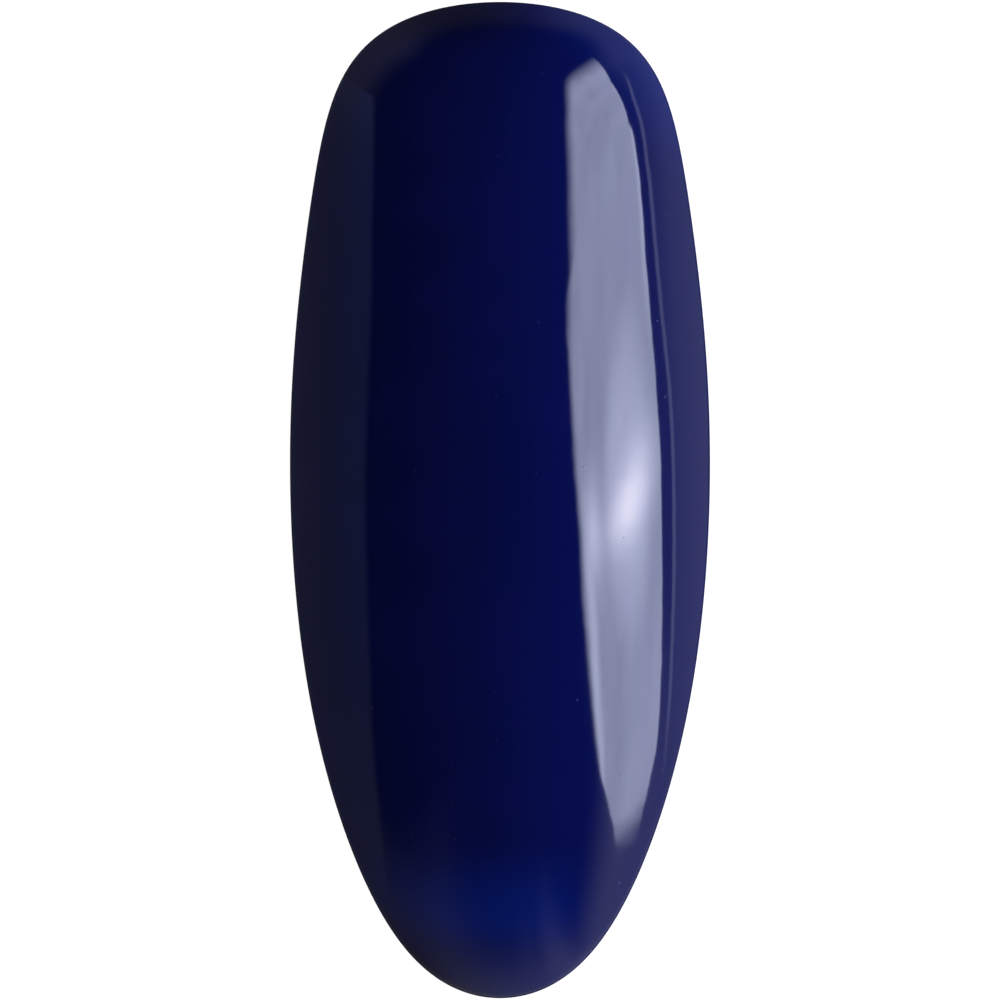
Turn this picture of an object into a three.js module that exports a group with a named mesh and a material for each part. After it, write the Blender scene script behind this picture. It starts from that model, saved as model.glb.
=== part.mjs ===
// A full-cover false nail tip carrying a gel manicure: a moulded plastic tip under four cured coats.
// Millimetres. X runs across the nail, +Y towards the cuticle end, +Z up. The nail lies with its
// arch upwards on the plane z = 0, and the origin is the middle of its footprint.
import * as THREE from 'three';

// ---- Driving dimensions of the moulded tip -------------------------------------------------
const tipLength = 27.34;       // cuticle edge to free edge, along Y
const tipWidth = 11.13;        // across the side walls, at the middle of the length
const archRise = 2.89;         // from the top of the edge to the crown, across the nail at mid-length
const cuticleTighten = 0.12;   // share by which the arch tightens at the cuticle edge
const freeEdgeTighten = 0.26;  // and at the free edge
const edgeHeight = 0.3;        // height of the squared edge all round the tip
const wallStress = 0.6;        // wall over the middle of the nail, where a nail bends most
const wallCuticle = 0.42;      // wall at the cuticle edge, feathered to sit flush with the skin
const wallFreeEdge = 0.5;      // wall at the free edge
const freeEdgeLift = 0.15;     // height of the free edge above the plane that the side walls rest on
const cuticleLift = 0.08;      // the same at the cuticle edge
const liftStart = 0.45;        // share of the half length where either lift begins

// ---- Driving dimensions of the coats -------------------------------------------------------
const baseCoatBuild = 0.05;
const colourCoatBuild = 0.08;  // each of the two coats of colour
const topCoatBuild = 0.12;
const bond = 0.01;             // faces of neighbouring coats stand this far apart
const baseCoatStop = 0.1;      // lowest edge of each coat above the resting plane: every coat
const coatStep = 0.015;        // stops a little above the one beneath, so none is wiped onto the plane

// The outline is an ellipse whose half width is multiplied by 1 + sum of eggTerms[k] * v^(k + 1),
// where v runs from -1 at the free edge to +1 at the cuticle edge. It makes the free edge slender
// and the cuticle edge broad.
const eggTerms = [0.061, 0.101, 0.056, 0.012, 0.28, 0.371];

// ---- Fineness of the mesh ------------------------------------------------------------------
const around = 56;             // stations round the outline, a multiple of 4
const rings = 7;               // steps from the spine out to the edge
const edgeSteps = 2;           // steps round the rolled edge of a coat
const spineShare = 0.62;       // length of the spine that the rings grow from, as a share of the tip's

const halfLength = tipLength / 2;
const halfWidth = tipWidth / 2;
const archRadius = (halfWidth ** 2 + archRise ** 2) / (2 * archRise);

// ---- Shape of the tip ----------------------------------------------------------------------
const eggFactor = (v) => 1 + eggTerms.reduce((sum, term, k) => sum + term * v ** (k + 1), 0);

// Square of the outline's half width at y. It passes smoothly through zero at both ends.
function halfWidthSquared(y) {
  const v = y / halfLength;
  return (1 - v * v) * (halfWidth * eggFactor(v)) ** 2;
}

function archRadiusAt(y) {
  const v = y / halfLength;
  const tighten = 0.5 * (cuticleTighten + freeEdgeTighten + v * (cuticleTighten - freeEdgeTighten));
  return archRadius * (1 - v * v * tighten);
}

function wallAt(y) {
  const v = y / halfLength;
  const end = v > 0 ? wallCuticle : wallFreeEdge;
  return wallStress + (end - wallStress) * v * v;
}

// Height of the underside of the edge above the resting plane: nil along the side walls.
function liftAt(y) {
  const v = y / halfLength;
  const past = Math.max(0, (Math.abs(v) - liftStart) / (1 - liftStart));
  return (v > 0 ? cuticleLift : freeEdgeLift) * past ** 3;
}

// Height of the outer face at (x, y): an arch across the nail that meets the squared edge all round.
function outerHeight(x, y) {
  const r = archRadiusAt(y);
  return edgeHeight + liftAt(y) + Math.sqrt(r * r - x * x) - Math.sqrt(r * r - halfWidthSquared(y));
}

function outerNormal(x, y) {
  const d = 1e-4;
  const slopeX = (outerHeight(x + d, y) - outerHeight(x - d, y)) / (2 * d);
  const slopeY = (outerHeight(x, y + d) - outerHeight(x, y - d)) / (2 * d);
  return new THREE.Vector3(-slopeX, -slopeY, 1).normalize();
}

// ---- Stations round the outline ------------------------------------------------------------
// Station 0 is the middle of the cuticle edge, and station around / 2 is the tip of the free edge.
function outlinePoint(turn) {
  const y = halfLength * Math.cos(turn);
  const side = Math.sin(turn) < 0 ? -1 : 1;
  return new THREE.Vector2(side * Math.sqrt(Math.max(0, halfWidthSquared(y))), y);
}

function outlineNormal(turn) {
  const d = 1e-3;
  const along = outlinePoint(turn + d).sub(outlinePoint(turn - d));
  return new THREE.Vector3(-along.y, along.x, 0).normalize();
}

// The spine stations are even, so each side of the nail meets the other in matching points there.
function spinePoint(station) {
  const step = station <= around / 2 ? station : around - station;
  return new THREE.Vector2(0, spineShare * halfLength * (1 - (4 * step) / around));
}

function planPoint(station, share) {
  const turn = (2 * Math.PI * station) / around;
  return spinePoint(station).lerp(outlinePoint(turn), share);
}

// ---- Rings of points -----------------------------------------------------------------------
const stations = Array.from({ length: around }, (_, station) => station);

// A ring of the face that lies `rise` outside the tip's outer face, measured square to it.
function faceRing(share, rise) {
  return stations.map((station) => {
    const { x, y } = planPoint(station, share);
    const point = new THREE.Vector3(x, y, outerHeight(x, y));
    return point.addScaledVector(outerNormal(x, y), rise);
  });
}

// A ring on the coat's roll over the tip's edge: at turn 0 it faces as the outer face does, and at
// turn 1 straight outwards.
function rollRing(turn, rise) {
  return stations.map((station) => {
    const { x, y } = planPoint(station, 1);
    const up = outerNormal(x, y);
    const out = outlineNormal((2 * Math.PI * station) / around);
    const facing = up.lerp(out, turn).normalize();
    return new THREE.Vector3(x, y, outerHeight(x, y)).addScaledVector(facing, rise);
  });
}

// A ring on the squared edge, at a height above the underside of that edge.
function edgeRing(height, rise) {
  return stations.map((station) => {
    const { x, y } = planPoint(station, 1);
    const out = outlineNormal((2 * Math.PI * station) / around);
    return new THREE.Vector3(x, y, liftAt(y) + height).addScaledVector(out, rise);
  });
}

// A point of the tip's inner face, a wall's thickness under the outer face.
function innerPoint(station, share) {
  const { x, y } = planPoint(station, share);
  const point = new THREE.Vector3(x, y, outerHeight(x, y));
  return point.addScaledVector(outerNormal(x, y), -wallAt(y));
}

// The share of the way to the outline at which the inner face comes down to the edge's underside.
function innerShare(station) {
  let low = 0.4;
  let high = 1;
  for (let step = 0; step < 40; step += 1) {
    const middle = 0.5 * (low + high);
    const point = innerPoint(station, middle);
    if (point.z > liftAt(point.y)) low = middle;
    else high = middle;
  }
  return low;
}

// ---- Meshes --------------------------------------------------------------------------------
const lerpSteps = (count) => Array.from({ length: count }, (_, step) => (step + 1) / count);

// The face of a coat from its spine to its lowest edge.
function coatFace(rise, stop) {
  return [
    ...[0, ...lerpSteps(rings)].map((share) => faceRing(share, rise)),
    ...lerpSteps(edgeSteps).map((turn) => rollRing(turn, rise)),
    edgeRing(stop, rise),
  ];
}

// A closed body from two faces, each a list of rings that starts at the spine. Both lists end at the
// lowest edge, where one strip joins them. Both faces split their quads along the same diagonal, so
// that coats which touch have the same facets.
function closedBody(outerRings, innerRings) {
  const outline = [...outerRings, ...[...innerRings].reverse()];
  const positions = outline.flatMap((ring) => ring.flatMap((point) => point.toArray()));
  const pointIndex = (ring, station) => {
    const onSpine = ring === 0 || ring === outline.length - 1;
    const wrapped = station % around;
    return ring * around + (onSpine && wrapped > around / 2 ? around - wrapped : wrapped);
  };
  const faces = [];
  const addFace = (a, b, c) => {
    if (a !== b && b !== c && c !== a) faces.push(a, b, c);
  };
  for (let ring = 0; ring + 1 < outline.length; ring += 1) {
    for (const station of stations) {
      const near = pointIndex(ring, station);
      const nearNext = pointIndex(ring, station + 1);
      const far = pointIndex(ring + 1, station);
      const farNext = pointIndex(ring + 1, station + 1);
      if (ring < outerRings.length) {
        addFace(near, farNext, far);
        addFace(near, nearNext, farNext);
      } else {
        addFace(near, nearNext, far);
        addFace(nearNext, farNext, far);
      }
    }
  }
  const geometry = new THREE.BufferGeometry();
  geometry.setAttribute('position', new THREE.Float32BufferAttribute(positions, 3));
  geometry.setIndex(faces);
  geometry.computeVertexNormals();
  return geometry;
}

function tipGeometry() {
  const outer = [...[0, ...lerpSteps(rings)].map((share) => faceRing(share, 0)), edgeRing(0, 0)];
  const reach = stations.map(innerShare);
  const inner = [0, ...lerpSteps(rings)].map((share) =>
    stations.map((station) => innerPoint(station, share * reach[station])));
  return closedBody(outer, inner);
}

function coatGeometry(under, over, stop) {
  return closedBody(coatFace(over, stop), coatFace(under + bond, stop));
}

function namedMesh(name, geometry, colour, roughness) {
  const material = new THREE.MeshStandardMaterial({ color: colour, roughness, metalness: 0 });
  const mesh = new THREE.Mesh(geometry, material);
  mesh.name = name;
  return mesh;
}

// ---- Assembly ------------------------------------------------------------------------------
const coats = [
  { name: 'base_coat', build: baseCoatBuild, colour: 0xe9e4e6, roughness: 0.25 },
  { name: 'colour_coat_1', build: colourCoatBuild, colour: 0x070a38, roughness: 0.3 },
  { name: 'colour_coat_2', build: colourCoatBuild, colour: 0x060a39, roughness: 0.28 },
  { name: 'top_coat', build: topCoatBuild, colour: 0x0a1048, roughness: 0.04 },
];

const nail = new THREE.Group();
nail.add(namedMesh('nail_tip', tipGeometry(), 0xe8e2d6, 0.45));

let laid = 0;
coats.forEach(({ name, build, colour, roughness }, order) => {
  const stop = baseCoatStop + order * coatStep;
  nail.add(namedMesh(name, coatGeometry(laid, laid + build, stop), colour, roughness));
  laid += build;
});

export default nail;
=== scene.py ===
# %% [markdown]
# # A painted nail tip
#
# The object is a false nail: a thin arched shell of milky plastic, brushed with a clear base coat, two
# coats of navy and a thick clear gloss. It is one smooth curved surface, so nearly all that an eye
# reads in it is reflection. This lesson therefore spends its effort on three things: an exact outline
# and arch, a gloss that is almost but not quite perfect, and the cards and lamps around it.

import math

import bpy
import numpy as np
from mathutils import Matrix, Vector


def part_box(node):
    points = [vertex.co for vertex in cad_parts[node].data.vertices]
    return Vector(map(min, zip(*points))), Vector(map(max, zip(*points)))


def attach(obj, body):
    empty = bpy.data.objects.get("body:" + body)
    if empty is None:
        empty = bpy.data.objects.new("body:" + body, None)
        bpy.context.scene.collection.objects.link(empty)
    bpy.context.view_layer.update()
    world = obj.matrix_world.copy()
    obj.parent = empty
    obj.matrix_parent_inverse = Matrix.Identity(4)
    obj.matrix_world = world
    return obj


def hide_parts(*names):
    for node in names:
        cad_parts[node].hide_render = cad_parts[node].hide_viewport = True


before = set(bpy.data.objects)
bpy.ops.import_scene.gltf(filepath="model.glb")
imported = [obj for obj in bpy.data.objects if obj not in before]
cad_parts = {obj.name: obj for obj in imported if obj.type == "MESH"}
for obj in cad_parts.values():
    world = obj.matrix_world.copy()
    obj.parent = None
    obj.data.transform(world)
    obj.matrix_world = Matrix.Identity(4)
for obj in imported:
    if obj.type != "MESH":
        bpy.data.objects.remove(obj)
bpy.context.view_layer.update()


# %% [markdown]
# ## Sizes
#
# Blender works in metres, and a nail is thought of in millimetres, so every size is written as a
# number times MM. The length and width come from the frame: the tip's own box is the outline that
# every coat follows. The rest are the sizes that a box can't tell, such as how thick a coat is.

# %% Sizes
MM = 0.001
tip_low, tip_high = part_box("nail_tip")
HALF_LENGTH = (tip_high.y - tip_low.y) / 2
ARCH_RISE = 2.89 * MM         # from the top of the squared edge to the crown, at mid-length
CUTICLE_TIGHTEN = 0.12        # the arch across the nail tightens by these shares towards its two ends
FREE_EDGE_TIGHTEN = 0.26
EDGE_HEIGHT = 0.3 * MM
WALL_STRESS, WALL_CUTICLE, WALL_FREE_EDGE = 0.6 * MM, 0.42 * MM, 0.5 * MM
CUTICLE_LIFT, FREE_EDGE_LIFT, LIFT_START = 0.08 * MM, 0.15 * MM, 0.45
BASE_BUILD, COLOUR_BUILD, TOP_BUILD = 0.05 * MM, 0.08 * MM, 0.12 * MM
BOND = 0.01 * MM
FIRST_STOP, STOP_STEP = 0.1 * MM, 0.015 * MM
SPINE_SHARE = 0.62            # length of the spine that the rings grow from, as a share of the tip's
EGG_TERMS = (0.061, 0.101, 0.056, 0.012, 0.28, 0.371)   # they swell the ellipse into an egg


def egg(v):
    """The outline's width over an ellipse's. v runs from -1 at the free edge to 1 at the cuticle."""
    return 1 + sum(term * v ** (k + 1) for k, term in enumerate(EGG_TERMS))


stations = np.linspace(-1, 1, 2001)
broadest = (np.sqrt(1 - stations**2) * egg(stations)).max()
HALF_WIDTH = (tip_high.x - tip_low.x) / 2 / broadest
ARCH_RADIUS = (HALF_WIDTH**2 + ARCH_RISE**2) / (2 * ARCH_RISE)
print(f"half length {HALF_LENGTH / MM:.2f} mm, half width {HALF_WIDTH / MM:.2f} mm")
print(f"arch radius {ARCH_RADIUS / MM:.2f} mm at mid-length")

# %% [markdown]
# ## The surface as a height field
#
# A salon tip is close to a piece of a tube, trimmed to an egg-shaped outline and drooping to its edge
# at both ends. It could be sculpted, but reflections show every dent, so the height is a formula: an
# arc across the nail whose feet always land on the edge. Its slope gives a direction square to the
# surface, and each coat is the same surface moved outwards along it.

# %% The surface
def half_width_squared(y):
    v = y / HALF_LENGTH
    return (1 - v * v) * (HALF_WIDTH * egg(v)) ** 2


def arch_radius(y):
    v = y / HALF_LENGTH
    tighten = 0.5 * (CUTICLE_TIGHTEN + FREE_EDGE_TIGHTEN + v * (CUTICLE_TIGHTEN - FREE_EDGE_TIGHTEN))
    return ARCH_RADIUS * (1 - v * v * tighten)


def lift(y):
    v = y / HALF_LENGTH
    past = np.maximum(0, (np.abs(v) - LIFT_START) / (1 - LIFT_START))
    return np.where(v > 0, CUTICLE_LIFT, FREE_EDGE_LIFT) * past**3


def wall(y):
    v = y / HALF_LENGTH
    return WALL_STRESS + (np.where(v > 0, WALL_CUTICLE, WALL_FREE_EDGE) - WALL_STRESS) * v * v


def outer_height(x, y):
    r = arch_radius(y)
    return EDGE_HEIGHT + lift(y) + np.sqrt(r * r - x * x) - np.sqrt(r * r - half_width_squared(y))


def unit(vectors):
    return vectors / np.linalg.norm(vectors, axis=-1, keepdims=True)


def outer_normal(x, y):
    d = 1e-4 * MM
    slope_x = (outer_height(x + d, y) - outer_height(x - d, y)) / (2 * d)
    slope_y = (outer_height(x, y + d) - outer_height(x, y - d)) / (2 * d)
    return unit(np.stack([-slope_x, -slope_y, np.ones_like(slope_x)], axis=-1))


crown = outer_height(np.array(0.0), np.array(1.5 * MM))
print(f"crown of the bare tip {crown / MM:.2f} mm above the rest plane")

# %% [markdown]
# ## Rings
#
# A grid laid over an egg shape has ragged ends, and a fan from one middle point pinches there. These
# pieces use rings instead: the innermost lies flat along a spine down the middle, and each next one is
# a little closer to the outline, as the rings of a squashed onion are. The last rings follow the
# rolled edge. Every ring has the same number of points, so they can be extruded one from the next.

# %% Rings
AROUND = 288
turns = 2 * math.pi * np.arange(AROUND) / AROUND


def outline(turn):
    y = HALF_LENGTH * np.cos(turn)
    x = -np.sign(np.sin(turn)) * np.sqrt(np.maximum(0, half_width_squared(y)))
    return np.stack([x, y], axis=-1)


def outline_normal():
    d = 1e-3
    along = outline(turns + d) - outline(turns - d)
    return unit(np.stack([along[:, 1], -along[:, 0], np.zeros(AROUND)], axis=-1))


step = np.arange(AROUND)
step = np.minimum(step, AROUND - step)
spine = np.stack([np.zeros(AROUND), SPINE_SHARE * HALF_LENGTH * (1 - 4 * step / AROUND)], axis=-1)
rim = outline(turns)
outwards = outline_normal()


def plan(share):
    at = spine + (rim - spine) * np.asarray(share)[..., None]
    return at[:, 0], at[:, 1]


def on_surface(x, y):
    return np.stack([x, y, outer_height(x, y)], axis=-1)


def face_ring(share, rise):
    """A ring that lies rise outside the tip's outer face. A negative rise is inside the wall."""
    x, y = plan(share)
    return on_surface(x, y) + outer_normal(x, y) * np.asarray(rise)[..., None]


def roll_ring(turn, rise):
    """A ring on the roll over the edge. At turn 0 it faces as the outer face does, at 1 outwards."""
    x, y = plan(1)
    up = outer_normal(x, y)
    angle = np.arccos(np.clip((up * outwards).sum(-1), -1, 1))[:, None]
    facing = (np.sin((1 - turn) * angle) * up + np.sin(turn * angle) * outwards) / np.sin(angle)
    return on_surface(x, y) + facing * rise


def edge_ring(height, rise):
    """A ring on the squared edge, height above the underside of that edge."""
    x, y = plan(1)
    return np.stack([x, y, lift(y) + height], axis=-1) + outwards * rise


widest = np.linalg.norm(np.diff(rim, axis=0), axis=1).max()
print(f"{AROUND} points to a ring, {widest / MM:.2f} mm apart at most")

# %% [markdown]
# ## From rings to a mesh
#
# By hand this is a circle extruded again and again, each new loop scaled and dropped into place. The
# script does the same: it adds a circle, extrudes it once for each ring, then lays every loop where
# its ring belongs, and merges the points that meet along the two spines. The rings run from the inner
# spine over the edge to the outer spine, and with a circle drawn anticlockwise that makes every face
# point outwards. The enclosed volume, which comes out negative for an inside-out mesh, confirms it.

# %% A body from its rings
SAME_POINT = 1e-4 * MM        # points closer than this are merged


def alone(piece):
    bpy.ops.object.select_all(action="DESELECT")
    piece.select_set(True)
    bpy.context.view_layer.objects.active = piece


def volume(piece):
    mesh = piece.data
    mesh.calc_loop_triangles()
    points = np.array([vertex.co for vertex in mesh.vertices])
    corners = points[np.array([triangle.vertices for triangle in mesh.loop_triangles])]
    return np.einsum("ij,ij->i", corners[:, 0], np.cross(corners[:, 1], corners[:, 2])).sum() / 6


def body_from_rings(name, rings):
    bpy.ops.object.select_all(action="DESELECT")
    bpy.ops.mesh.primitive_circle_add(vertices=AROUND, radius=HALF_LENGTH, fill_type="NOTHING")
    piece = bpy.context.object
    piece.name = piece.data.name = name
    bpy.ops.object.mode_set(mode="EDIT")
    bpy.ops.mesh.select_all(action="SELECT")
    for _ in rings[1:]:
        bpy.ops.mesh.extrude_edges_move()
    bpy.ops.object.mode_set(mode="OBJECT")
    piece.data.vertices.foreach_set("co", np.concatenate(rings).ravel())
    bpy.ops.object.mode_set(mode="EDIT")
    bpy.ops.mesh.select_all(action="SELECT")
    bpy.ops.mesh.remove_doubles(threshold=SAME_POINT)
    bpy.ops.object.mode_set(mode="OBJECT")
    bpy.ops.object.shade_smooth()
    print(f"{name}: {len(piece.data.polygons)} faces, {volume(piece) / MM**3:.1f} cubic mm")
    return piece


# %% [markdown]
# ## The coats
#
# Gel runs a little before it cures. It levels itself into long shallow swells, rolls over the edge of
# the tip, and ends in a round bead just above the edge's underside. Each coat is a closed body of its
# own: an inner face, the bead, the roll and an outer face. Only the last coat's outer face gets the
# swells, a few thousandths of a millimetre high, and they are what makes its reflections look wet.

# %% The coats' rings
SWELL = 0.004 * MM
FACE_RINGS, INNER_RINGS, ROLL_RINGS, BEAD_RINGS = 64, 32, 6, 8


def swell(x, y):
    """Long shallow swells, told from three crossing waves."""
    long_wave = np.sin(2 * math.pi * (y / (7.3 * MM) + 0.15 * x / MM))
    cross_wave = np.sin(2 * math.pi * (x / (5.1 * MM) + 0.6 * np.sin(y / (3.7 * MM))))
    short_wave = np.sin(2 * math.pi * (y / (3.4 * MM) - x / (4.4 * MM)) + 1.3)
    return SWELL * (0.5 * long_wave + 0.3 * cross_wave + 0.2 * short_wave)


def bead_rings(under, over, stop):
    """The round end of a coat, from its inner face to its outer one."""
    radius = (over - under) / 2
    angles = math.pi * (np.arange(1, BEAD_RINGS) / BEAD_RINGS)
    return [
        edge_ring(stop + radius * (1 - math.sin(angle)), under + radius * (1 - math.cos(angle)))
        for angle in angles
    ]


def coat_rings(under, over, stop, waves=False):
    radius = (over - under) / 2
    inner_face = [face_ring(share, under) for share in np.linspace(0, 1, INNER_RINGS + 1)]
    inner_roll = [roll_ring(turn, under) for turn in np.linspace(0, 1, ROLL_RINGS + 1)[1:]]
    inner_edge = [edge_ring(stop + radius, under)]
    outer_edge = [edge_ring(stop + radius, over)]
    outer_roll = [roll_ring(turn, over) for turn in np.linspace(1, 0, ROLL_RINGS + 1)[:-1]]
    outer_face = []
    for share in np.linspace(1, 0, FACE_RINGS + 1):
        fade = 1 - share**6
        rise = over + (fade * swell(*plan(share)) if waves else 0)
        outer_face.append(face_ring(share, rise))
    bead = bead_rings(under, over, stop)
    return inner_face + inner_roll + inner_edge + bead + outer_edge + outer_roll + outer_face


# %% Lay the coats one on another
coats = {}
laid = 0.0
for order, (name, build) in enumerate(
    [
        ("base_coat", BASE_BUILD),
        ("colour_coat_1", COLOUR_BUILD),
        ("colour_coat_2", COLOUR_BUILD),
        ("top_coat", TOP_BUILD),
    ]
):
    stop = FIRST_STOP + order * STOP_STEP
    rings = coat_rings(laid + BOND, laid + build, stop, waves=name == "top_coat")
    coats[name] = body_from_rings(name + "_gel", rings)
    laid += build

# %% [markdown]
# ## The moulded tip
#
# The tip is the same kind of body, but its edge is squared off by the mould: the outer face drops
# straight down to a narrow flat land, the part that touches a table, and the inner face rises from
# there. The inner face is the outer one moved in by the wall, which is thickest in the middle, where a
# nail bends most. The two sharp loops of the edge are then bevelled, because no mould leaves a
# perfect corner and it is the tiny rounded corner that catches the light.

# %% The moulded tip
TIP_RINGS = 48
CORNER, CORNER_STEPS = 0.04 * MM, 3   # the small bevel that a mould leaves


def inner_ring(share):
    x, y = plan(share)
    return on_surface(x, y) - outer_normal(x, y) * wall(y)[:, None]


def reach():
    """The share of the way to the outline at which the inner face comes down to the land."""
    low, high = np.full(AROUND, 0.4), np.full(AROUND, 1.0)
    for _ in range(40):
        middle = (low + high) / 2
        ring = inner_ring(middle)
        above = ring[:, 2] > lift(ring[:, 1])
        low, high = np.where(above, middle, low), np.where(above, high, middle)
    return low


def select_loop(piece, ring):
    """Selects the edges of a body that lie along one of its rings."""
    points = {tuple(np.round(point / MM, 3)) for point in ring}
    mesh = piece.data
    on_ring = [tuple(np.round(np.array(vertex.co) / MM, 3)) in points for vertex in mesh.vertices]
    for edge in mesh.edges:
        edge.select = edge.select or (on_ring[edge.vertices[0]] and on_ring[edge.vertices[1]])


inner_reach = reach()
shares = np.linspace(0, 1, TIP_RINGS + 1)
inner_face = [inner_ring(inner_reach * share) for share in shares]
land = edge_ring(0, 0)
edge_face = [land, edge_ring(EDGE_HEIGHT / 3, 0), edge_ring(EDGE_HEIGHT * 2 / 3, 0)]
outer_face = [face_ring(share, 0) for share in shares[::-1]]
tip = body_from_rings("nail_tip_shell", inner_face + edge_face + outer_face)

bpy.ops.object.mode_set(mode="EDIT")
bpy.ops.mesh.select_all(action="DESELECT")
bpy.ops.mesh.select_mode(type="EDGE")
bpy.ops.object.mode_set(mode="OBJECT")
for ring in (inner_face[-1], land):
    select_loop(tip, ring)
bpy.ops.object.mode_set(mode="EDIT")
bpy.ops.mesh.bevel(offset=CORNER, segments=CORNER_STEPS, affect="EDGES")
bpy.ops.object.mode_set(mode="OBJECT")
print(f"nail_tip_shell after its bevels: {len(tip.data.polygons)} faces")

# %% [markdown]
# ## What the mould leaves underneath
#
# Tips are sold in sets of numbered sizes, so each has a small numeral moulded on its inner face, which
# reads the right way from below. Two round ejector pads beside the middle line show where the mould
# pushed the tip out. Both are low relief: a numeral is typed as text, turned over, made a mesh, given
# thickness, and then laid against the curved face by moving each point to the height found there.

# %% Relief on the inner face
RELIEF = 0.07 * MM
ROOT = 0.05 * MM              # how far the relief reaches into the wall, so that nothing stands free
NUMERAL_HEIGHT, NUMERAL_Y = 2.2 * MM, 5.2 * MM
PAD_RADIUS, PAD_X, PAD_Y = 0.45 * MM, 1.9 * MM, 0.5 * MM
SMOOTH_BELOW = math.radians(35)   # edges sharper than this stay crisp


def inner_height(x, y):
    """Height of the inner face over a point of the plan, near enough for relief."""
    return outer_height(x, y) - wall(y) / outer_normal(x, y)[..., 2]


def lay_under(piece):
    """Lays a flat piece, from z = 0 down to z = -1, against the inner face."""
    mesh = piece.data
    points = np.array([vertex.co for vertex in mesh.vertices])
    depth = -points[:, 2]
    points[:, 2] = inner_height(points[:, 0], points[:, 1]) + ROOT - depth * (ROOT + RELIEF)
    mesh.vertices.foreach_set("co", points.ravel())
    mesh.update()


def size_numeral(numeral, height, place):
    bpy.ops.object.select_all(action="DESELECT")
    bpy.ops.object.text_add(location=(0, 0, 0))
    text = bpy.context.object
    text.data.body = numeral
    text.data.size = height
    text.data.align_x, text.data.align_y = "CENTER", "CENTER"
    text.data.resolution_u = 8
    bpy.ops.object.convert(target="MESH")
    piece = bpy.context.object
    mesh = piece.data
    points = np.array([vertex.co for vertex in mesh.vertices])
    x, y = place[0] - points[:, 0], place[1] + points[:, 1]
    turned = np.stack([x, y, np.zeros(len(points))], axis=-1)
    mesh.vertices.foreach_set("co", turned.ravel())
    bpy.ops.object.mode_set(mode="EDIT")
    bpy.ops.mesh.select_all(action="SELECT")
    bpy.ops.mesh.remove_doubles(threshold=10 * SAME_POINT)
    bpy.ops.mesh.extrude_region_move(TRANSFORM_OT_translate={"value": (0, 0, -1)})
    bpy.ops.mesh.select_all(action="SELECT")
    bpy.ops.mesh.normals_make_consistent(inside=False)
    bpy.ops.object.mode_set(mode="OBJECT")
    lay_under(piece)
    return piece


def ejector_pad(place, radius):
    bpy.ops.object.select_all(action="DESELECT")
    middle = (*place, -0.5)
    bpy.ops.mesh.primitive_cylinder_add(vertices=40, radius=radius, depth=1, location=middle)
    piece = bpy.context.object
    bpy.ops.object.transform_apply(location=True)
    bpy.ops.object.mode_set(mode="EDIT")
    bpy.ops.mesh.select_mode(type="FACE")
    bpy.ops.mesh.select_all(action="DESELECT")
    bpy.ops.object.mode_set(mode="OBJECT")
    for face in piece.data.polygons:
        face.select = abs(face.normal.z) > 0.9
    bpy.ops.object.mode_set(mode="EDIT")
    bpy.ops.mesh.inset(thickness=0.12 * radius)
    bpy.ops.object.mode_set(mode="OBJECT")
    lay_under(piece)
    return piece


details = [
    size_numeral("4", NUMERAL_HEIGHT, (0.0, NUMERAL_Y)),
    ejector_pad((-PAD_X, PAD_Y), PAD_RADIUS),
    ejector_pad((PAD_X, PAD_Y), PAD_RADIUS),
]
for detail in details:
    print(f"{detail.name}: {volume(detail) / MM**3:.3f} cubic mm")
alone(tip)
for detail in details:
    detail.select_set(True)
bpy.ops.object.join()
bpy.ops.object.shade_smooth_by_angle(angle=SMOOTH_BELOW)

# %% [markdown]
# ## A small language for materials
#
# A material is a graph of nodes, and long graphs are hard to read as code. Here a Wire stands for a
# value that runs through the graph, and Python's own signs add the Math nodes: mask * 0.3 + 0.1 is two
# nodes. Every other node comes from one method, which sets its settings first and its sockets next.

# %% Wires and finishes
class Wire:
    """A number that varies over the surface. Arithmetic on it adds Math nodes."""

    def __init__(self, graph, socket):
        self.graph, self.socket = graph, socket

    def math(self, operation, *others):
        return self.graph.node("ShaderNodeMath", {"operation": operation}, [self, *others])

    def __add__(self, other):
        return self.math("ADD", other)

    def __sub__(self, other):
        return self.math("SUBTRACT", other)

    def __rsub__(self, other):
        return self.graph.node("ShaderNodeMath", {"operation": "SUBTRACT"}, [other, self])

    def __mul__(self, other):
        return self.math("MULTIPLY", other)

    def __truediv__(self, other):
        return self.math("DIVIDE", other)

    def __pow__(self, other):
        return self.math("POWER", other)

    __radd__, __rmul__ = __add__, __mul__

    def between(self, low, high):
        """0 below low, 1 above high, and a smooth climb from one to the other."""
        settings = {"interpolation_type": "SMOOTHSTEP"}
        sockets = {"Value": self, "From Min": low, "From Max": high}
        return self.graph.node("ShaderNodeMapRange", settings, sockets)


class Graph:
    """A node graph being built, with one method that adds any node."""

    def __init__(self, tree):
        self.tree = tree

    def feed(self, socket, value):
        if isinstance(value, Wire):
            self.tree.links.new(value.socket, socket)
        else:
            socket.default_value = value

    def node(self, kind, settings=None, sockets=None, output=0):
        node = self.tree.nodes.new(kind)
        for name, value in (settings or {}).items():
            setattr(node, name, value)
        sockets = sockets or {}
        for name, value in sockets.items() if isinstance(sockets, dict) else enumerate(sockets):
            self.feed(node.inputs[name], value)
        return Wire(self, node.outputs[output])

    def axes(self, where):
        return [self.node("ShaderNodeSeparateXYZ", sockets=[where], output=name) for name in "XYZ"]

    def noise(self, where, scale, detail=2.0):
        sockets = {"Vector": where, "Scale": scale, "Detail": detail}
        return self.node("ShaderNodeTexNoise", {}, sockets, "Fac")

    def stretch(self, where, *scale):
        return self.node("ShaderNodeMapping", {}, {"Vector": where, "Scale": scale})

    def blend(self, share, first, second):
        return self.node("ShaderNodeMix", {"data_type": "RGBA"}, {0: share, 6: first, 7: second}, 2)


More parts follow.
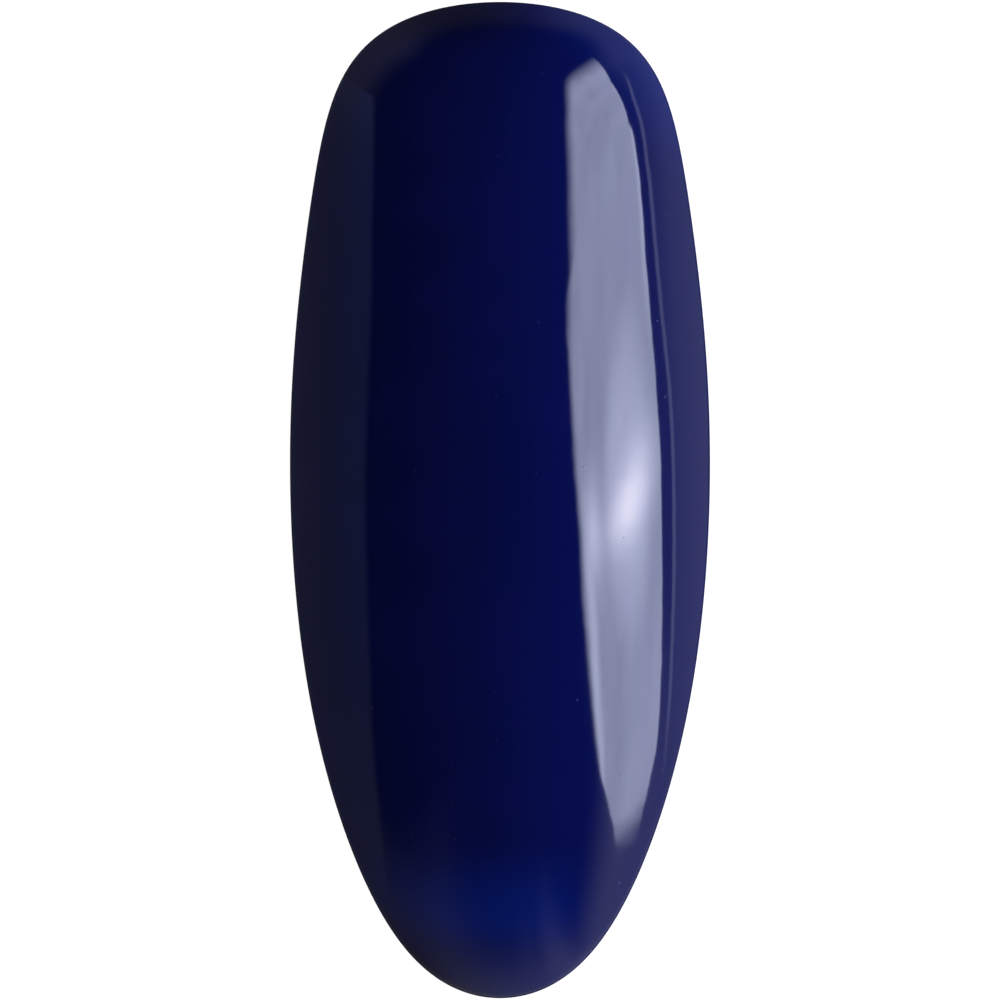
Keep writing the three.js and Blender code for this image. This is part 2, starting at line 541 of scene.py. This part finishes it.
class Finish(Graph):
    """A material and the graph that makes it."""

    def __init__(self, name):
        self.material = bpy.data.materials.new(name)
        self.material.use_nodes = True
        super().__init__(self.material.node_tree)
        self.surface = self.tree.nodes["Principled BSDF"]

    def place(self):
        """Where a point is on the piece, in millimetres."""
        where = self.node("ShaderNodeTexCoord", output="Object")
        return self.node("ShaderNodeVectorMath", {"operation": "SCALE"}, {0: where, "Scale": 1 / MM})

    def bump(self, height, distance, strength=1.0):
        sockets = {"Height": height, "Distance": distance, "Strength": strength}
        return self.node("ShaderNodeBump", {}, sockets)

    def set(self, **sockets):
        for name, value in sockets.items():
            label = name.replace("_", " ").title().replace("Ior", "IOR")
            self.feed(self.surface.inputs[label], value)
        return self.material


def colour(red, green, blue):
    return (red, green, blue, 1.0)


def wear(piece, material, node):
    """Gives a piece its finish, and its place in the frame."""
    piece.data.materials.clear()
    piece.data.materials.append(material)
    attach(piece, "root")
    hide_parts(node)


# %% [markdown]
# ## The gloss over navy
#
# A clear coat over dark colour looks like dark glass: the colour sits deep, and the surface mirrors
# the room at four hundredths of its brightness, rising towards the edges. One Principled surface with
# the navy as its base does that. The navy isn't even, and its unevenness is painted light and shade:
# painted shade darkens it down the left and middle, away from the softbox, and further over the
# cuticle end and the lower left; painted light brightens it near the free edge and at the right
# shoulder. Over it go the faults that make gel real: dust nibs under the gloss, a breath of orange
# peel, and faint wiping marks.

# %% The gloss over navy
GEL_IOR = 1.5
# Painted shade and painted light: a darker navy for the left and middle, a lighter one for the right,
# where the softbox is.
NAVY_PAINTED_SHADE_LEFT, NAVY_PAINTED_LIGHT_RIGHT = colour(0.0007, 0.0021, 0.0295), colour(0.0009, 0.0023, 0.037)
NAVY_CLOUD = colour(0.0018, 0.0024, 0.041)
# A brighter navy for painted light, and a darker one for painted shade.
NAVY_PAINTED_LIGHT, NAVY_PAINTED_SHADE_PATCH = colour(0.0008, 0.0050, 0.066), colour(0.0006, 0.0012, 0.014)
DUST = colour(0.35, 0.36, 0.42)
LOT_FLOOR, NIB_GAIN, NIB_CUT = 0.56, 0.1, 0.055   # at the floor a nib is all but nothing


def gloss_finish():
    finish = Finish("gloss_over_navy")
    where = finish.place()
    x, y, _ = finish.axes(where)
    # Painted shade down the left and middle, painted light towards the right, where the softbox is.
    navy_painted_side_light = finish.blend(x.between(-0.8, 1.9), NAVY_PAINTED_SHADE_LEFT, NAVY_PAINTED_LIGHT_RIGHT)
    clouds = finish.noise(where, 0.45, 3.0).between(0.35, 0.7)
    clouds_and_painted_side_light = finish.blend(clouds * 0.5, navy_painted_side_light, NAVY_CLOUD)
    south = y * -1.0
    # Painted light: the navy brightens near the free edge and at the right shoulder of the cuticle end.
    painted_light_free_edge = south.between(9.4, 11.6) * (1 - south.between(11.7, 12.9) * 0.7)
    painted_light_shoulder = (x + y * 0.9).between(12.6, 15.5)
    painted_light = (painted_light_free_edge * (1 - x.between(1.0, 3.2))).math("MAXIMUM", painted_light_shoulder)
    # Painted shade: the navy darkens over the middle and left of the cuticle end, and at the lower
    # left.
    painted_shade_cuticle = y.between(12.2, 13.7) * (1 - x.between(-1.0, 1.5))
    painted_shade = painted_shade_cuticle + (south - x * 1.2).between(13.3, 16.2) * 0.8
    # The navy with its painted light, and then its painted shade.
    navy_painted_light_and_shade = finish.blend(painted_light, clouds_and_painted_side_light, NAVY_PAINTED_LIGHT)
    navy_painted_light_and_shade = finish.blend(painted_shade, navy_painted_light_and_shade, NAVY_PAINTED_SHADE_PATCH)

    cells = {"Vector": where, "Scale": 0.85}
    flat = {"voronoi_dimensions": "2D"}
    reach = finish.node("ShaderNodeTexVoronoi", flat, cells, "Distance")
    tint = finish.node("ShaderNodeTexVoronoi", flat, cells, "Color")
    lot = finish.node("ShaderNodeSeparateColor", {}, [tint])
    nib = 1 - reach.between(0.0, lot.math("MAXIMUM", LOT_FLOOR) * NIB_GAIN - NIB_CUT)
    peel = finish.noise(where, 1.1, 1.0)
    smear = finish.noise(finish.stretch(where, 1.0, 0.12, 1.0), 1.4)
    return finish.set(
        base_color=finish.blend(nib * 0.02, navy_painted_light_and_shade, DUST),
        roughness=0.035 + smear * 0.03 + nib * 0.15,
        ior=GEL_IOR,
        normal=finish.bump(nib * 1.2 + peel * 2, 0.001 * MM),
    )


wear(coats["top_coat"], gloss_finish(), "top_coat")

# %% [markdown]
# ## The coats beneath
#
# The coats under the gloss show only at the rim, as hair lines. The first navy is streaky, because a
# first coat always is, and the second evens it out. The base is clear gel, which over milky plastic
# looks like slightly warm wax.

# %% The coats beneath
NAVY_STREAK = colour(0.006, 0.012, 0.12)
FIRST_NAVY, SECOND_NAVY = colour(0.003, 0.006, 0.055), colour(0.0015, 0.004, 0.04)
FIRST_STREAKS, SECOND_STREAKS = 0.5, 0.2
CLEAR_DARK, CLEAR_PALE = colour(0.78, 0.75, 0.72), colour(0.86, 0.84, 0.82)


def navy_finish(name, streak, body):
    finish = Finish(name)
    where = finish.place()
    brushed = finish.noise(finish.stretch(where, 3.0, 0.12, 3.0), 1.6, 3.0)
    tone = finish.blend(brushed * streak, body, NAVY_STREAK)
    return finish.set(
        base_color=tone,
        roughness=0.22 + brushed * 0.15,
        ior=GEL_IOR,
        normal=finish.bump(brushed, 0.004 * MM, streak),
    )


def base_finish():
    finish = Finish("clear_base_gel")
    where = finish.place()
    cloud = finish.noise(where, 0.8, 3.0)
    return finish.set(
        base_color=finish.blend(cloud, CLEAR_DARK, CLEAR_PALE),
        roughness=0.16 + cloud * 0.12,
        ior=1.48,
        subsurface_weight=0.2,
        subsurface_radius=(0.3 * MM, 0.2 * MM, 0.15 * MM),
    )


wear(coats["base_coat"], base_finish(), "base_coat")
first_navy = navy_finish("navy_first", FIRST_STREAKS, FIRST_NAVY)
wear(coats["colour_coat_1"], first_navy, "colour_coat_1")
second_navy = navy_finish("navy_second", SECOND_STREAKS, SECOND_NAVY)
wear(coats["colour_coat_2"], second_navy, "colour_coat_2")

# %% [markdown]
# ## The moulded plastic
#
# Tips are moulded from milky ABS. The inside is left with a fine spark-eroded grain so that glue
# grips, rougher towards the cuticle end, where the tip sits on the nail. Plastic flows from the free
# edge to the cuticle, and leaves faint long streaks of tone along that way.

# %% The moulded plastic
PLASTIC_WARM, PLASTIC_PALE = colour(0.76, 0.70, 0.60), colour(0.86, 0.82, 0.74)
PLASTIC_GROUND = colour(0.84, 0.82, 0.78)   # where the grain is roughest


def plastic_finish():
    finish = Finish("milky_tip_plastic")
    where = finish.place()
    _, y, _ = finish.axes(where)
    contact = y.between(-1.0, 4.0)
    grain = finish.noise(where, 9.0, 4.0)
    flow = finish.noise(finish.stretch(where, 1.4, 0.1, 1.4), 1.0)
    tone = finish.blend(flow, PLASTIC_WARM, PLASTIC_PALE)
    return finish.set(
        base_color=finish.blend(contact * 0.35, tone, PLASTIC_GROUND),
        roughness=0.38 + contact * 0.2 + grain * 0.1,
        ior=1.54,
        subsurface_weight=0.15,
        subsurface_radius=(0.8 * MM, 0.6 * MM, 0.4 * MM),
        normal=finish.bump(grain, 0.006 * MM, 0.2 + contact * 0.5),
    )


wear(tip, plastic_finish(), "nail_tip")

# %% [markdown]
# ## The camera
#
# A colour sample is shown square from above through a long lens, so that its sides don't lean. The
# distance is worked out from the lens: the nail's length fills the frame apart from a hair at each end.

# %% The camera
LENS, SENSOR = 400.0, 36.0
FRAME_HEIGHT = 28.112 * MM
top_low, top_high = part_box("top_coat")
distance = FRAME_HEIGHT * LENS / SENSOR
centre_y = (top_low.y + top_high.y) / 2
bpy.ops.object.camera_add(location=(0, centre_y, EDGE_HEIGHT + distance), rotation=(0, 0, 0))
camera = bpy.context.object
camera.data.lens, camera.data.sensor_width = LENS, SENSOR
camera.data.clip_start, camera.data.clip_end = 0.01, 50.0
bpy.context.scene.camera = camera
bpy.context.scene.view_settings.view_transform = "Standard"
print(f"the camera is {distance / MM:.0f} mm above the nail")

# %% [markdown]
# ## The table and the fill
#
# The sample lies on a pale table that is lit until it shows as plain white, with no shadow. Black
# paper tucked round the nail, just out of view, would keep the white table out of the gloss. Here the
# table is simply hidden from mirrored rays. A large dim sheet overhead, also hidden from them, opens
# the navy up on the side that the main lamp can't reach.

# %% The table and the fill
TABLE_SIZE, TABLE_DROP, TABLE_GLOW = 4.0, 0.02 * MM, 0.97
FILL_SIZE, FILL_HEIGHT, FILL_STRENGTH = 1.2, 0.8, 0.9
WHITE = colour(1, 1, 1)


def light(name, strength, tint):
    """A surface that only shines."""
    finish = Finish(name)
    finish.tree.nodes.remove(finish.surface)
    shine = finish.node("ShaderNodeEmission", {}, {"Color": tint, "Strength": strength})
    finish.tree.links.new(shine.socket, finish.tree.nodes["Material Output"].inputs["Surface"])
    return finish


bpy.ops.mesh.primitive_plane_add(size=TABLE_SIZE, location=(0, 0, -TABLE_DROP))
table = bpy.context.object
table.name = "table"
paper = Finish("pale_table")
paper.set(base_color=colour(0.1, 0.1, 0.1), roughness=0.6)
paper.set(emission_color=WHITE, emission_strength=TABLE_GLOW)
table.data.materials.append(paper.material)
overhead, face_down = (0, 0, FILL_HEIGHT), (math.pi, 0, 0)
bpy.ops.mesh.primitive_plane_add(size=FILL_SIZE, location=overhead, rotation=face_down)
fill = bpy.context.object
fill.name = "fill"
fill.data.materials.append(light("fill_sheet", FILL_STRENGTH, WHITE).material)
fill.visible_camera = False
for sheet in (table, fill):
    sheet.visible_glossy = False
print("the table and the fill are hidden from mirrored rays")

# %% [markdown]
# ## The softbox
#
# One softbox to the right of the nail draws the long bright strip. The strip's outline is the outline
# of the softbox's cloth, squeezed by the tight arch. The lower edge of the cloth is crisp. The upper
# one is a fold that fades out. The cloth is built as a row of ribs: each has its place along the nail
# and the heights of its two ends, and a third row of points, in the fold, is where the light ends.

# %% The softbox
CARD_REACH = 200 * MM
NARROW_FOLD, BROAD_FOLD, FOLD_TURN = 20, 35, 85   # half the fold, and where it broadens
CLOTH, MOTTLE = 5.5, 2.5      # how brightly each part of the cloth shines
HALO, LAMP, SECOND_LAMP, RIDGE, HEM = 3.0, 9.0, 5.0, 3.0, 2.0
CLOTH_COOL, CLOTH_WARM = colour(0.96, 1.10, 1.34), colour(1.03, 1.02, 1.40)
LAMP_TINT = colour(1.0, 0.99, 1.14)
ribs = [
    (-110, 85, 155), (-95, 40, 195), (-65, 20, 245), (30, 50, 305),
    (85, 70, 315), (90, 75, 285), (165, 90, 270), (310, 90, 230),
]


def shine_grid(name, rows, finish, soft=False):
    """A card in the plane x = 0, from rows of (y, z) points in millimetres, to be moved out later.
    The attribute "fold" is 1 along the last row of a soft card, and 0 elsewhere."""
    bpy.ops.object.select_all(action="DESELECT")
    across, up = len(rows[0]) - 1, len(rows) - 1
    bpy.ops.mesh.primitive_grid_add(x_subdivisions=across, y_subdivisions=up, size=2)
    piece = bpy.context.object
    piece.name = name
    points = np.array([(0, y * MM, z * MM) for row in rows for y, z in row])
    piece.data.vertices.foreach_set("co", points.ravel())
    piece.data.update()
    fold = piece.data.attributes.new("fold", "FLOAT", "POINT")
    last = len(rows[-1])
    fold.data.foreach_set("value", [0.0] * (len(points) - last) + [float(soft)] * last)
    piece.data.materials.append(finish.material)
    piece.visible_camera = False
    return piece


def fade_out(finish, shine, cover):
    """Ends a card's graph: the card shows where cover is 1, and fades to nothing along its fold."""
    fold = finish.node("ShaderNodeAttribute", {"attribute_name": "fold"}, output="Fac")
    nothing = finish.node("ShaderNodeBsdfTransparent")
    share = (1 - fold.between(0.0, 1.0)) * cover
    both = finish.node("ShaderNodeMixShader", {}, {0: share, 1: nothing, 2: shine})
    finish.tree.links.new(both.socket, finish.tree.nodes["Material Output"].inputs["Surface"])
    return finish


def softbox_light():
    finish = Finish("softbox_cloth")
    where = finish.place()
    _, y, z = finish.axes(where)

    def spot(across, up):
        return ((across**2 + up**2) * -1.0).math("EXPONENT")

    lean = y + 12 + (z - 110) * 0.2
    lamp = spot(lean / 11, (z - 110) / 45)
    second = spot((y + 30) / 20, (z - 210) / 35)
    halo = 1 - (((y + 5) / 55) ** 2 + ((z - 115) / 70) ** 2).between(0.0, 1.1)
    from_ridge = ((z - y * 1.2 - 285) / 30).math("ABSOLUTE")
    ridge = (1 - from_ridge.between(0.0, 1.0)) * (1 - y.between(-65.0, -30.0))
    along_hem = y.between(20.0, 60.0) * (1 - y.between(130.0, 180.0))
    hem = (1 - (z - y * 0.25 - 45).between(4.0, 10.0)) * along_hem
    mottle = finish.noise(where, 0.022, 3.0) - 0.5
    lamps = halo * HALO + lamp * LAMP + second * SECOND_LAMP
    lit = CLOTH + lamps + ridge * RIDGE + hem * HEM + mottle * MOTTLE
    weave = finish.blend(finish.noise(where, 0.03), CLOTH_COOL, CLOTH_WARM)
    tint = finish.blend(lamp, weave, LAMP_TINT)
    shine = finish.node("ShaderNodeEmission", {}, {"Color": tint, "Strength": lit})
    corner = (y * 0.9 + z * 0.4).between(-68.0, -56.0)
    end = 1 - (y - z * 0.2).between(185.0, 280.0)
    return fade_out(finish, shine, corner * end)


fold_half = [NARROW_FOLD if y < FOLD_TURN else BROAD_FOLD for y, _, _ in ribs]
rows = [
    [(y, low) for y, low, _ in ribs],
    [(y, high - half) for (y, _, high), half in zip(ribs, fold_half)],
    [(y, high + half) for (y, _, high), half in zip(ribs, fold_half)],
]
softbox = shine_grid("softbox", rows, softbox_light(), soft=True)
softbox.location.x = CARD_REACH
print(f"the softbox has {len(ribs)} ribs and {len(softbox.data.polygons)} panels")

# %% [markdown]
# ## The cards on either side
#
# A grey card on the left gives the straight-edged dark grey band down that flank. A second card stands
# low on the right. Its upper edge catches the lamp and draws the hair line beside the bright strip.

# %% The cards on either side
CARD_FOOT = -100              # below the table's level, because the steep flanks mirror what is there
LEFT_FOLD_HALF, RAIL_HEIGHT = 9, 7
LEFT_GREY, LEFT_BLUE = colour(1, 1, 1.2), colour(1, 1.2, 2.3)
RIGHT_TINT, RAIL_TINT = colour(1, 1.04, 1.4), colour(1, 1.04, 1.5)
RAIL_STRENGTH = 1.15


def left_light():
    finish = Finish("left_card")
    _, y, z = finish.axes(finish.place())
    strength = 0.12 + y.between(40.0, 120.0) * 0.08 + (1 - y.between(-120.0, -40.0)) * 0.05
    blue = z.between(-20.0, 80.0) * y.between(-110.0, -10.0)
    tint = finish.blend(blue, LEFT_GREY, LEFT_BLUE)
    shine = finish.node("ShaderNodeEmission", {}, {"Color": tint, "Strength": strength})
    return fade_out(finish, shine, 1.0)


def right_light():
    finish = Finish("right_card")
    _, _, z = finish.axes(finish.place())
    strength = 0.48 - z.between(-15.0, 45.0) * 0.22
    shine = finish.node("ShaderNodeEmission", {}, {"Color": RIGHT_TINT, "Strength": strength})
    return fade_out(finish, shine, 1.0)


def edge_light():
    finish = Finish("card_edge")
    _, y, _ = finish.axes(finish.place())
    sockets = {"Color": RAIL_TINT, "Strength": RAIL_STRENGTH}
    shine = finish.node("ShaderNodeEmission", {}, sockets)
    return fade_out(finish, shine, y.between(-75.0, -45.0) * (1 - y.between(115.0, 185.0)))


left_edge = [(-120, 80), (-50, 95), (45, 100), (120, 65)]
right_edge = [(-75, 0), (15, 20), (60, 45), (110, 55), (190, 50)]


def raised(edge, by):
    return [(y, z + by) for y, z in edge]


def foot(edge):
    return [(y, CARD_FOOT) for y, _ in edge]


rows = [foot(left_edge), raised(left_edge, -LEFT_FOLD_HALF), raised(left_edge, LEFT_FOLD_HALF)]
left = shine_grid("left_card", rows, left_light(), soft=True)
right = shine_grid("right_card", [foot(right_edge), right_edge], right_light())
rail = shine_grid("card_edge", [raised(right_edge, -RAIL_HEIGHT), right_edge], edge_light())
left.location.x = -CARD_REACH
right.location.x = CARD_REACH
rail.location.x = CARD_REACH - MM
print("cards stand at", [round(card.location.x / MM) for card in (left, right, rail)], "mm")

# %% [markdown]
# ## The room
#
# Low down, the room glows a little all round, and the gloss gathers that glow into the soft band along
# its rim. A wall that is lit glows more and higher, and a dark doorway glows less. Each is a compass
# bearing, 0 to the right and 90 towards the cuticle, with how far to either side of it the wall ends
# and where it is whole, what it adds to the glow, and what it adds to its height, all angles in
# degrees. Seen directly, the room is as white as the table.

# %% The room
GLOOM = 0.016                 # what is left high up, where nothing is lit
LOW_GLOW, LOW_TOP, TOP_SOFTNESS = 0.17, 14, 8   # the glow all round, its height, how softly it ends
walls = [
    (-70, 70, 15, 0.35, 0),
    (-100, 60, 30, 0.0, 30),
    (-35, 30, 10, 0.2, 15),
    (55, 30, 10, 0.2, 0),
    (85, 40, 5, -0.1, -15),
]
world = bpy.data.worlds.new("dim_room")
bpy.context.scene.world = world
world.use_nodes = True
room = Graph(world.node_tree)
heading = room.node("ShaderNodeTexCoord", output="Generated")
east, north, height = room.axes(heading)
flat = (east * east + north * north).math("SQRT")


def lit_share(bearing, ends, whole):
    """How much of a wall a direction meets: 1 near the wall's bearing, 0 past its ends."""
    bearing, ends, whole = (math.radians(angle) for angle in (bearing, ends, whole))
    facing = (east * math.cos(bearing) + north * math.sin(bearing)) / flat
    return facing.between(math.cos(ends), math.cos(whole))


bright, top = LOW_GLOW, LOW_TOP
for bearing, ends, whole, more_glow, more_height in walls:
    share = lit_share(bearing, ends, whole)
    bright = bright + share * more_glow
    top = top + share * more_height
edge = (top * (math.pi / 180)).math("SINE")
above = (height - edge) / math.sin(math.radians(TOP_SOFTNESS))
glow = bright * (1 - above.between(-1.0, 1.0)) * height.between(-0.75, -0.45) + GLOOM
green = glow * (0.97 + east * 0.07)
blue = glow * (1.1 + east * 0.3)
tint = room.node("ShaderNodeCombineColor", {}, {"Red": glow, "Green": green, "Blue": blue})
seen = room.node("ShaderNodeBackground", {}, {"Color": WHITE})
mirrored = room.node("ShaderNodeBackground", {}, {"Color": tint})
camera_ray = room.node("ShaderNodeLightPath", output="Is Camera Ray")
either = room.node("ShaderNodeMixShader", {}, {0: camera_ray, 1: mirrored, 2: seen})
room.tree.links.new(either.socket, room.tree.nodes["World Output"].inputs["Surface"])
print(f"the room has {len(walls)} walls that glow more or less than the rest")
